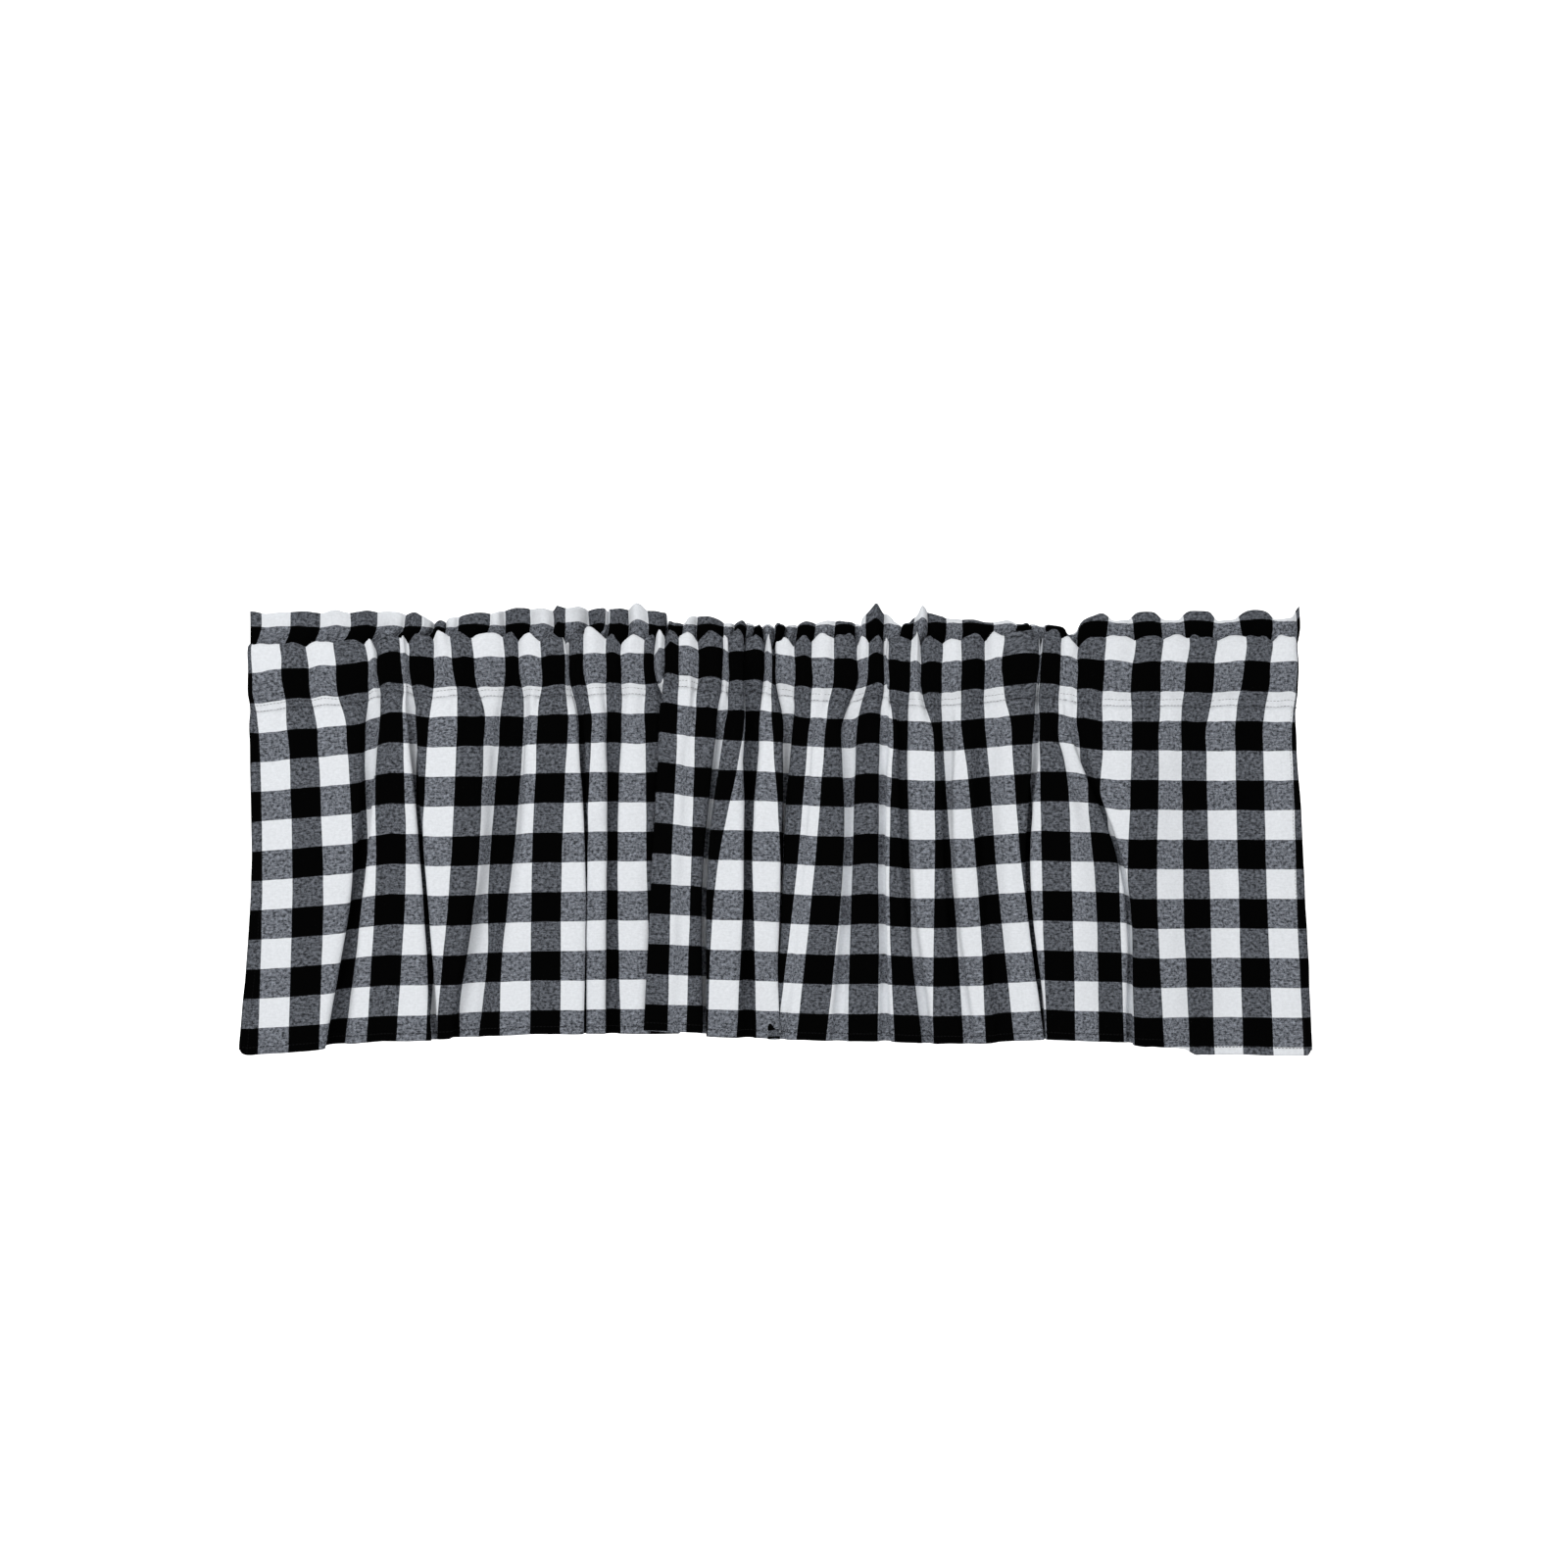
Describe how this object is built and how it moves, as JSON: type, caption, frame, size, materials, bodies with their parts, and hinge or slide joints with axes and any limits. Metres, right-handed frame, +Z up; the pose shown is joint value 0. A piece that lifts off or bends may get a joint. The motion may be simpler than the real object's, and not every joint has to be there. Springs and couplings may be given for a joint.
{
  "type": "window valance",
  "caption": "Rod-pocket window valance in black and white checked cotton, gathered, with a ruffle above the pocket.",
  "frame": {"origin": "middle of the upper line of stitches, under which the curtain rod carries the cloth", "axes": "+X along the rod to the right as seen from the room, -Y towards the room, +Z up"},
  "size_m": [0.9242, 0.0565, 0.3894],
  "materials": {
    "heading_cotton": "matt",
    "skirt_cotton": "matt"
  },
  "bodies": {
    "root": {"heading": "heading_cotton", "skirt": "skirt_cotton"}
  },
  "joints": []
}
